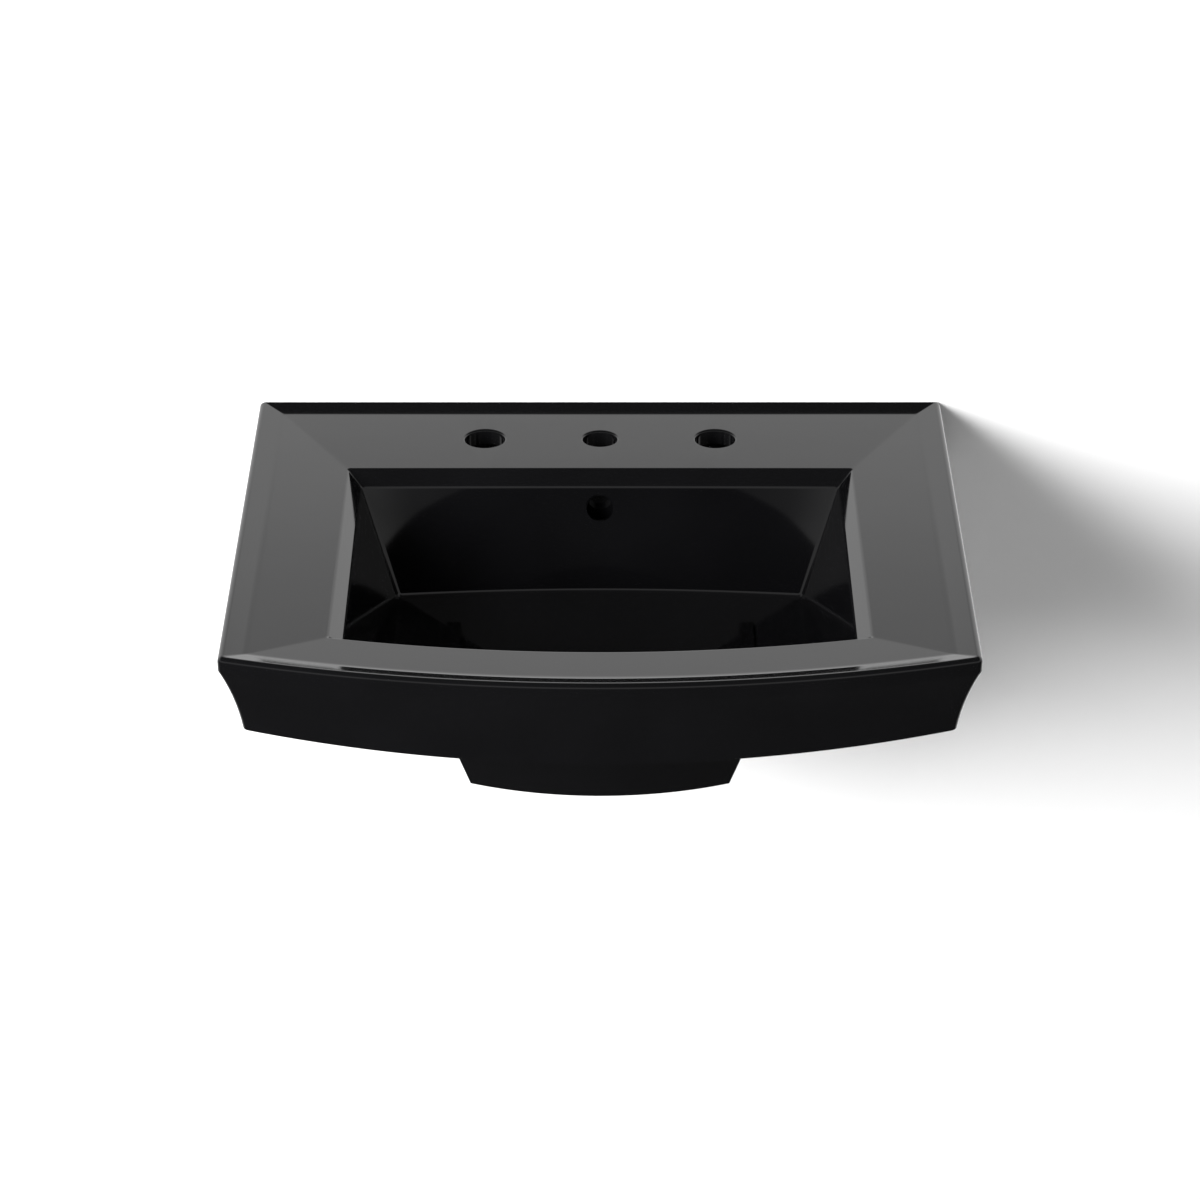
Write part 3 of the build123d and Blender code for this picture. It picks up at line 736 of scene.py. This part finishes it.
# ---------------------------------------------------------------- drain and wall fixings
def drain_piece():
    """The drain's flange and threaded tube, slotted for the overflow, with the latch's spider."""
    profile = [(throat_radius + flange_edge, flange_top)]
    for step in range(5):
        angle = math.pi / 2 * step / 4
        corner = flange_radius - flange_edge
        lift = flange_edge * (math.cos(angle) - 1)
        profile.append((corner + flange_edge * math.sin(angle), flange_top + lift))
    profile += [(flange_radius, flange_under + flange_break)]
    profile += [(flange_radius - flange_break, flange_under)]
    profile += [(tube_radius + tube_fillet, flange_under)]
    profile += [(tube_radius, flange_under - tube_fillet)]
    profile += thread(
        tube_radius, tube_thread_depth, tube_thread_pitch, tube_thread_start, tube_end + 1
    )
    profile += [(tube_radius - tube_break, tube_end), (socket_radius + socket_break, tube_end)]
    profile += [(socket_radius, tube_end + socket_break), (socket_radius, tube_end + socket_depth)]
    profile += [(throat_radius, tube_end + socket_depth), (throat_radius, flange_top - flange_edge)]
    for step in range(1, 4):
        angle = math.pi / 2 * step / 4
        lift = flange_edge * (math.sin(angle) - 1)
        profile.append((throat_radius + flange_edge * (1 - math.cos(angle)), flange_top + lift))
    tube = turned("drain_tube", profile)
    slots = []
    for across, along in ((slot_reach, slot_half), (slot_half, slot_reach)):
        low = (-across, -drain_line - along, slot_top - slot_height)
        slots.append(box_piece("slot", low, (across, along - drain_line, slot_top)))
    combine(tube, slots, "DIFFERENCE")
    foot = spider_top - spider_height
    hub = [(spider_hub, foot), (spider_hub, spider_top)]
    hub += [(spider_bore, spider_top), (spider_bore, foot)]
    spider = [turned("hub", hub, hub_columns)]
    for turn in (90, 210, 330):
        low = (spider_hub - overlap, -rib_half, foot)
        rib = box_piece("rib", low, (throat_radius + overlap, rib_half, spider_top))
        swing = Matrix.Rotation(math.radians(turn), 4, "Z")
        rib.data.transform(Matrix.Translation(Vector((0, -drain_line, 0)) * MM) @ swing)
        spider.append(rib)
    combine(tube, spider, "UNION")
    smooth(tube)
    return tube


def cap_piece():
    """The stopper's cap: a shallow dome with a grooved skirt under it."""
    dome = (cap_radius**2 + cap_crown**2) / (2 * cap_crown)
    low = groove_middle - groove_half
    high = groove_middle + groove_half
    profile = [(skirt_radius - skirt_break, skirt_end), (skirt_radius, skirt_end + skirt_break)]
    profile += [(skirt_radius, low), (groove_radius, low), (groove_radius, high)]
    profile += [(skirt_radius, high), (skirt_radius, cap_under)]
    profile += [(cap_radius - cap_break, cap_under), (cap_radius, cap_under + cap_break)]
    for step in range(5):
        angle = math.pi / 2 * step / 4
        reach = cap_radius - cap_round * (1 - math.cos(angle))
        profile.append((reach, cap_shoulder - cap_round + cap_round * math.sin(angle)))
    for step in range(1, dome_steps + 1):
        radius = (cap_radius - cap_round) * (1 - step / dome_steps) + dome_pole * step / dome_steps
        height = cap_shoulder + cap_crown - dome + math.sqrt(dome**2 - radius**2)
        profile.append((radius, height - dome_sink))
    cap = turned("stopper_dome", profile, round_columns, ends="fill")
    smooth(cap)
    return cap


def hexagon_nut(name, flat, bore, low, height, chamfer, place=(0.0, -drain_line, 0.0), along="Z"):
    """A hexagon nut with its corners turned off at both ends and its bore countersunk."""
    corner = flat / math.cos(math.pi / 6)
    nut = turned(name, [(corner, low), (corner, low + height)], 6, place, along, "fill")
    slant = (corner - flat) * 0.6
    face = flat - chamfer * 0.3
    wide = corner + 0.05
    high = low + height
    barrel = [(face, low - 0.01), (wide, low + slant), (wide, high - slant), (face, high + 0.01)]
    combine(nut, [turned("barrel", barrel, round_columns, place, along, "fill")], "INTERSECT")
    sink = chamfer * 0.4
    mouth = bore + sink + 1
    hole = [(mouth, low - 1), (bore, low + sink), (bore, high - sink), (mouth, high + 1)]
    combine(nut, [turned("hole", hole, 64, place, along, "fill")], "DIFFERENCE")
    smooth(nut)
    return nut


def stud_piece(x):
    """One hanger bolt: a wood screw in the wall and a machine screw in the room."""

    def taper(height):
        from_tip = stud_in_wall + height
        if from_tip > stud_point:
            return stud_radius
        return stud_tip + (stud_radius - stud_tip) * from_tip / stud_point

    neck = machine_neck
    profile = [(tip_flat, -stud_in_wall)]
    profile += thread(taper, wood_depth, wood_pitch, tip_lead - stud_in_wall, wood_thread_end)
    profile += [(stud_radius, -collar_step), (machine_radius, 0.0), (machine_radius, neck)]
    profile += thread(
        machine_radius, machine_depth, machine_pitch, neck + 1, stud_end - machine_lead
    )
    profile += [(machine_radius - machine_lead, stud_end)]
    return turned("stud", profile, stud_columns, (x, 0, 0), "Y", "fill")


def gather(name, pieces):
    """Join the pieces into one."""
    deselect_all()
    for piece in pieces:
        piece.select_set(True)
    bpy.context.view_layer.objects.active = pieces[0]
    bpy.ops.object.join()
    pieces[0].name = name
    return pieces[0]


# ---------------------------------------------------------------- finishes
def new_finish(name):
    """A material with its Principled shader and object coordinates."""
    finish = bpy.data.materials.new(name)
    finish.use_nodes = True
    tree = finish.node_tree
    shader = tree.nodes["Principled BSDF"]
    place = tree.nodes.new("ShaderNodeTexCoord")
    return finish, tree, shader, place


def glaze():
    """Deep black glaze: a hard clear gloss that is very slightly wavy, as fired glaze is."""
    finish, tree, shader, place = new_finish("black_glaze")
    shader.inputs["Roughness"].default_value = 0.06
    shader.inputs["IOR"].default_value = 1.5
    waves = tree.nodes.new("ShaderNodeTexNoise")
    waves.inputs["Scale"].default_value = 14.0
    waves.inputs["Detail"].default_value = 1.0
    tint = tree.nodes.new("ShaderNodeMix")
    tint.data_type = "RGBA"
    tint.inputs["A"].default_value = (0.0017, 0.0017, 0.0019, 1)
    tint.inputs["B"].default_value = (0.0029, 0.0029, 0.0033, 1)
    bump = tree.nodes.new("ShaderNodeBump")
    bump.inputs["Strength"].default_value = 0.25
    bump.inputs["Distance"].default_value = 0.0002
    link = tree.links.new
    link(place.outputs["Object"], waves.inputs["Vector"])
    link(waves.outputs["Fac"], tint.inputs["Factor"])
    link(tint.outputs["Result"], shader.inputs["Base Color"])
    link(waves.outputs["Fac"], bump.inputs["Height"])
    link(bump.outputs["Normal"], shader.inputs["Normal"])
    return finish


def grained(name, dark, light, metallic, roughness, scale, stretch=(1, 1, 1), depth=0.02):
    """A cloudy finish whose gloss and surface follow a fine grain, drawn out along an axis."""
    finish, tree, shader, place = new_finish(name)
    shader.inputs["Metallic"].default_value = metallic
    new = tree.nodes.new
    link = tree.links.new
    stretched = new("ShaderNodeMapping")
    stretched.inputs["Scale"].default_value = stretch
    fine = new("ShaderNodeTexNoise")
    fine.inputs["Scale"].default_value = scale
    fine.inputs["Detail"].default_value = 4.0
    cloudy = new("ShaderNodeTexNoise")
    cloudy.inputs["Scale"].default_value = 90.0
    cloudy.inputs["Detail"].default_value = 2.0
    tint = new("ShaderNodeMix")
    tint.data_type = "RGBA"
    tint.inputs["A"].default_value = (*dark, 1)
    tint.inputs["B"].default_value = (*light, 1)
    gloss = new("ShaderNodeMapRange")
    gloss.inputs["From Min"].default_value = 0.3
    gloss.inputs["From Max"].default_value = 0.7
    gloss.inputs["To Min"].default_value = roughness[0]
    gloss.inputs["To Max"].default_value = roughness[1]
    bump = new("ShaderNodeBump")
    bump.inputs["Strength"].default_value = 0.3
    bump.inputs["Distance"].default_value = depth * MM
    link(place.outputs["Object"], stretched.inputs["Vector"])
    link(stretched.outputs["Vector"], fine.inputs["Vector"])
    link(place.outputs["Object"], cloudy.inputs["Vector"])
    link(cloudy.outputs["Fac"], tint.inputs["Factor"])
    link(tint.outputs["Result"], shader.inputs["Base Color"])
    link(fine.outputs["Fac"], gloss.inputs["Value"])
    link(gloss.outputs["Result"], shader.inputs["Roughness"])
    link(fine.outputs["Fac"], bump.inputs["Height"])
    link(bump.outputs["Normal"], shader.inputs["Normal"])
    return finish


def cover(piece, finish, body, slot, *replaced):
    """Give the piece its finish and its body, and hide the CAD nodes that it stands for. The slot
    is not used.
    """
    piece.data.materials.clear()
    piece.data.materials.append(finish)
    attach(piece, body)
    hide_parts(*replaced)


black_glaze = glaze()
chrome = grained(
    "polished_chrome", (0.74, 0.75, 0.77), (0.82, 0.82, 0.83), 1.0, (0.04, 0.10), 900, depth=0.01
)
brass = grained(
    "turned_brass", (0.62, 0.44, 0.19), (0.76, 0.58, 0.29), 1.0, (0.22, 0.36), 700, (1, 1, 6)
)
rubber = grained(
    "moulded_rubber", (0.016, 0.016, 0.017), (0.03, 0.03, 0.03), 0.0, (0.55, 0.8), 1200, depth=0.05
)
acetal = grained(
    "moulded_acetal", (0.70, 0.69, 0.64), (0.78, 0.77, 0.73), 0.0, (0.3, 0.42), 1500
)
nylon = grained(
    "moulded_nylon", (0.76, 0.76, 0.73), (0.84, 0.84, 0.82), 0.0, (0.35, 0.5), 1500, depth=0.03
)
zinc = grained(
    "zinc_plate", (0.55, 0.57, 0.60), (0.72, 0.72, 0.70), 1.0, (0.25, 0.42), 600
)
wire = grained(
    "drawn_wire", (0.52, 0.52, 0.53), (0.66, 0.66, 0.67), 1.0, (0.18, 0.32), 800, (1, 1, 4)
)

cover(basin_piece(), black_glaze, "root", "china", "basin")
cover(drain_piece(), chrome, "root", "chrome", "drain_body")
cover(cap_piece(), chrome, "stopper", "chrome", "stopper_cap")
locknut = hexagon_nut(
    "locknut", nut_flat, nut_bore, nut_top - nut_height, nut_height, nut_chamfer
)
cover(locknut, brass, "root", "brass", "drain_locknut")
bolt_places = (-bolt_spacing / 2, bolt_spacing / 2)
studs = gather("hanger_bolts", [stud_piece(x) for x in bolt_places])
smooth(studs)
cover(studs, zinc, "root", "zinc_steel", "wall_studs")
nut_size = (stud_nut_flat, stud_nut_bore, stud_nut_face, stud_nut_height, stud_nut_chamfer)
nuts = gather("bolt_nuts", [hexagon_nut("nut", *nut_size, (x, 0, 0), "Y") for x in bolt_places])
cover(nuts, zinc, "root", "zinc_steel", "wall_nuts")

# The small pieces that keep their CAD shape, and the finish of each.
kept = {
    "flange_gasket": rubber, "stopper_ring": rubber, "cone_gasket": rubber, "stopper_stem": brass,
    "latch_barrel": acetal, "latch_plunger": acetal, "latch_cam": acetal, "latch_spring": wire,
    "slip_washer": nylon, "wall_bushings": nylon, "wall_washers": zinc,
}
for name, finish in kept.items():
    for place in nodes[name].material_slots:
        place.material = finish

# ---------------------------------------------------------------- stage
wall_reach = 4.0
wall_gap = 0.0005
floor_level = -0.82
wall_shade = 0.8
floor_shade = 0.42
camera_place = (0.0, -3.345, 1.6725)
camera_pitch = math.radians(61.85)
camera_lens = 123.75
camera_sensor = 36.0
key_place = (-1.48, -2.26, 0.94)
key_aim = (0.3, 0.0, -0.1)
key_power = 175.0
key_width = 1.15

# The surroundings' brightness by elevation in degrees, behind the wall and in front of it.
shades_behind = (
    (-90, 0.06), (-58, 0.06), (-38, 1.0), (25.7, 1.03), (26.8, 0.95), (28, 0.83), (29.5, 0.78),
    (32, 0.7), (40, 0.08), (90, 0.05),
)
shades_front = (
    (-90, 0.05), (0, 0.05), (6, 0.15), (12, 0.43), (29, 0.43), (41, 0.06), (90, 0.05),
)


def stage_finish(name, shade):
    """Plain and pale, seen from the room only, so that the object can be looked at from behind."""
    finish = bpy.data.materials.new(name)
    finish.use_nodes = True
    tree = finish.node_tree
    shader = tree.nodes["Principled BSDF"]
    shader.inputs["Base Color"].default_value = (shade, shade, shade, 1)
    shader.inputs["Roughness"].default_value = 1.0
    shader.inputs["Specular IOR Level"].default_value = 0.0
    clear = tree.nodes.new("ShaderNodeBsdfTransparent")
    mix = tree.nodes.new("ShaderNodeMixShader")
    side = tree.nodes.new("ShaderNodeNewGeometry")
    tree.links.new(side.outputs["Backfacing"], mix.inputs["Fac"])
    tree.links.new(shader.outputs["BSDF"], mix.inputs[1])
    tree.links.new(clear.outputs["BSDF"], mix.inputs[2])
    tree.links.new(mix.outputs["Shader"], tree.nodes["Material Output"].inputs["Surface"])
    return finish


def stage_plane(name, location, rotation, shade):
    """One big square of the stage."""
    deselect_all()
    bpy.ops.mesh.primitive_plane_add(size=2 * wall_reach, location=location, rotation=rotation)
    plane = bpy.context.object
    plane.name = name
    plane.data.materials.append(stage_finish(name, shade))
    plane.visible_glossy = False
    return plane


wall_middle = (0, wall_gap, floor_level + wall_reach)
stage_plane("stage_wall", wall_middle, (math.pi / 2, 0, 0), wall_shade)
stage_plane("stage_floor", (0, -wall_reach, floor_level), (0, 0, 0), floor_shade)


def world_light():
    """Soft studio surroundings: bright behind the wall, dim overhead, a soft band in front."""
    world = bpy.data.worlds.new("studio")
    bpy.context.scene.world = world
    world.use_nodes = True
    tree = world.node_tree
    new = tree.nodes.new
    link = tree.links.new
    direction = new("ShaderNodeTexCoord")
    split = new("ShaderNodeSeparateXYZ")
    behind = new("ShaderNodeValToRGB")
    front = new("ShaderNodeValToRGB")
    mix = new("ShaderNodeMix")
    mix.data_type = "RGBA"
    rise = new("ShaderNodeMapRange")
    rise.inputs["From Min"].default_value = -1.0
    turn = new("ShaderNodeMapRange")
    turn.interpolation_type = "SMOOTHSTEP"
    turn.inputs["From Min"].default_value = -0.05
    turn.inputs["From Max"].default_value = 0.55

    def shades(ramp, levels):
        """Set the ramp's stops from brightness by elevation."""
        ramp.color_ramp.interpolation = "EASE"
        stops = ramp.color_ramp.elements
        while len(stops) > 1:
            stops.remove(stops[0])
        for index, (elevation, level) in enumerate(levels):
            place = (math.sin(math.radians(elevation)) + 1) / 2
            if index == 0:
                stops[0].position = place
            stop = stops.new(place) if index else stops[0]
            stop.color = (level, level, level, 1)

    shades(behind, shades_behind)
    shades(front, shades_front)
    link(direction.outputs["Generated"], split.inputs["Vector"])
    link(split.outputs["Z"], rise.inputs["Value"])
    link(rise.outputs["Result"], behind.inputs["Fac"])
    link(rise.outputs["Result"], front.inputs["Fac"])
    link(split.outputs["Y"], turn.inputs["Value"])
    link(turn.outputs["Result"], mix.inputs["Factor"])
    link(front.outputs["Color"], mix.inputs["A"])
    link(behind.outputs["Color"], mix.inputs["B"])
    background = tree.nodes["Background"]
    background.inputs["Strength"].default_value = 1.2
    link(mix.outputs["Result"], background.inputs["Color"])


def key_light():
    """The lamp at the upper left that throws the basin's shadow on the wall, down to the right."""
    lamp = bpy.data.lights.new("key", "AREA")
    lamp.energy = key_power
    lamp.size = key_width
    holder = bpy.data.objects.new("key", lamp)
    bpy.context.scene.collection.objects.link(holder)
    holder.location = key_place
    aim = Vector(key_aim) - holder.location
    holder.rotation_euler = aim.to_track_quat("-Z", "Y").to_euler()
    holder.visible_glossy = False


def camera():
    """A long lens above the room, looking down at the basin."""
    view = bpy.data.cameras.new("camera")
    view.lens = camera_lens
    view.sensor_width = camera_sensor
    holder = bpy.data.objects.new("camera", view)
    bpy.context.scene.collection.objects.link(holder)
    holder.location = camera_place
    holder.rotation_euler = (camera_pitch, 0, 0)
    bpy.context.scene.camera = holder


world_light()
key_light()
camera()
bpy.context.scene.view_settings.view_transform = "Standard"
